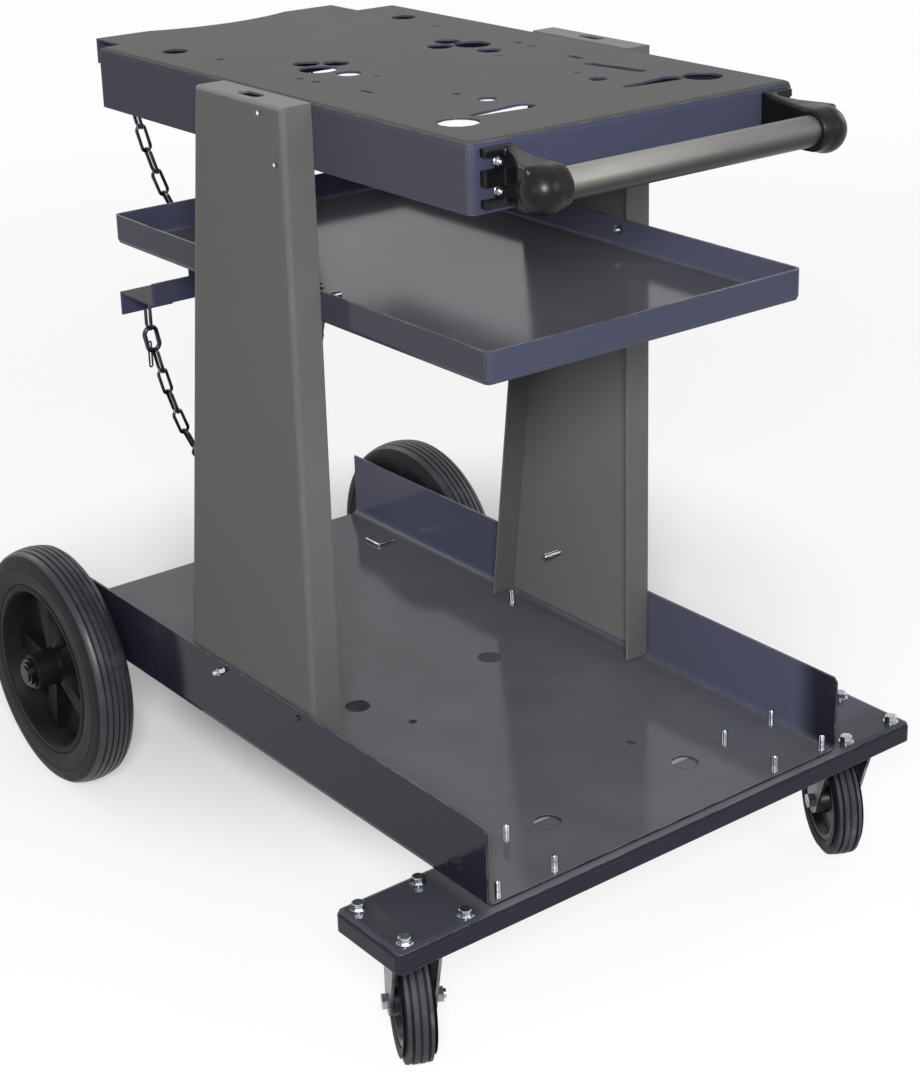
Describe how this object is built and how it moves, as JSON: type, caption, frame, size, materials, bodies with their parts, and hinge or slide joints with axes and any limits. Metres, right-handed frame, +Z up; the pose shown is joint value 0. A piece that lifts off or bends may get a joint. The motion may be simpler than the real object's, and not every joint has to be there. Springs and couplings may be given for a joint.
{
  "type": "welding cart",
  "caption": "Two-level steel welding cart: folded base on large rear wheels and swivel casters, tapered columns, tray, machine shelf with push handle, bottle brackets with chains.",
  "frame": {"origin": "on the floor, under the middle of the bounding box", "axes": "+Z up, +Y from the push handle towards the large wheels, +X to the right as the pusher sees it"},
  "size_m": [0.58, 0.8168, 0.746],
  "materials": {
    "sheet_paint": "gloss blue-grey paint",
    "column_paint": "satin grey paint",
    "tube": "light grey paint",
    "zinc": "bright zinc plate",
    "chain": "zinc plate, dulled",
    "black_plastic": "moulded black",
    "tyre": "grooved rubber"
  },
  "bodies": {
    "frame": {"base_tray": "sheet_paint", "caster_bar": "sheet_paint", "top_shelf": "sheet_paint", "middle_tray": "sheet_paint", "upper_bottle_bracket": "sheet_paint", "lower_bottle_bracket": "sheet_paint", "handle_tube": "tube", "rear_axle": "zinc", "left_column": "column_paint", "left_handle_bracket": "black_plastic", "left_axle_bracket": "sheet_paint", "left_axle_spacer": "zinc", "left_axle_washer": "zinc", "left_axle_clip": "zinc", "left_caster_plate": "zinc", "left_caster_kingpin": "zinc", "left_caster_bolt_1": "zinc", "left_caster_bolt_2": "zinc", "left_caster_bolt_3": "zinc", "left_caster_bolt_4": "zinc", "left_floor_stud_1": "zinc", "left_floor_stud_2": "zinc", "left_floor_stud_3": "zinc", "left_floor_stud_4": "zinc", "right_column": "column_paint", "right_handle_bracket": "black_plastic", "right_axle_bracket": "sheet_paint", "right_axle_spacer": "zinc", "right_axle_washer": "zinc", "right_axle_clip": "zinc", "right_caster_plate": "zinc", "right_caster_kingpin": "zinc", "right_caster_bolt_1": "zinc", "right_caster_bolt_2": "zinc", "right_caster_bolt_3": "zinc", "right_caster_bolt_4": "zinc", "right_floor_stud_1": "zinc", "right_floor_stud_2": "zinc", "right_floor_stud_3": "zinc", "right_floor_stud_4": "zinc"},
    "left_rear_wheel": {"left_rear_tyre": "tyre", "left_rear_hub": "black_plastic"},
    "left_caster": {"left_caster_race": "zinc", "left_caster_fork": "zinc", "left_caster_axle": "zinc", "left_caster_nut": "zinc"},
    "left_caster_wheel": {"left_caster_tyre": "tyre", "left_caster_core": "black_plastic"},
    "right_rear_wheel": {"right_rear_tyre": "tyre", "right_rear_hub": "black_plastic"},
    "right_caster": {"right_caster_race": "zinc", "right_caster_fork": "zinc", "right_caster_axle": "zinc", "right_caster_nut": "zinc"},
    "right_caster_wheel": {"right_caster_tyre": "tyre", "right_caster_core": "black_plastic"},
    "upper_chain": {"upper_chain": "chain"},
    "lower_chain": {"lower_chain": "chain"}
  },
  "joints": [
    {"name": "left_rear_wheel_spin", "type": "hinge", "parent": "frame", "child": "left_rear_wheel", "pos_m": [-0.227, 0.2864, 0.122], "axis": [1, 0, 0], "continuous": true},
    {"name": "left_caster_swivel", "type": "hinge", "parent": "frame", "child": "left_caster", "pos_m": [-0.246, -0.3371, 0.13], "axis": [0, 0, 1], "continuous": true},
    {"name": "left_caster_wheel_spin", "type": "hinge", "parent": "left_caster", "child": "left_caster_wheel", "pos_m": [-0.23624, -0.31794, 0.052], "axis": [0.891, -0.454, 0], "continuous": true},
    {"name": "right_rear_wheel_spin", "type": "hinge", "parent": "frame", "child": "right_rear_wheel", "pos_m": [0.227, 0.2864, 0.122], "axis": [1, 0, 0], "continuous": true},
    {"name": "right_caster_swivel", "type": "hinge", "parent": "frame", "child": "right_caster", "pos_m": [0.246, -0.3371, 0.13], "axis": [0, 0, 1], "continuous": true},
    {"name": "right_caster_wheel_spin", "type": "hinge", "parent": "right_caster", "child": "right_caster_wheel", "pos_m": [0.25576, -0.31794, 0.052], "axis": [0.891, -0.454, 0], "continuous": true},
    {"name": "upper_chain_swing", "type": "hinge", "parent": "frame", "child": "upper_chain", "pos_m": [0, 0.2757, 0.725], "axis": [1, 0, 0], "range_deg": [-8, 8]},
    {"name": "lower_chain_swing", "type": "hinge", "parent": "frame", "child": "lower_chain", "pos_m": [0, 0.2692, 0.48], "axis": [1, 0, 0], "range_deg": [-8, 8]}
  ]
}
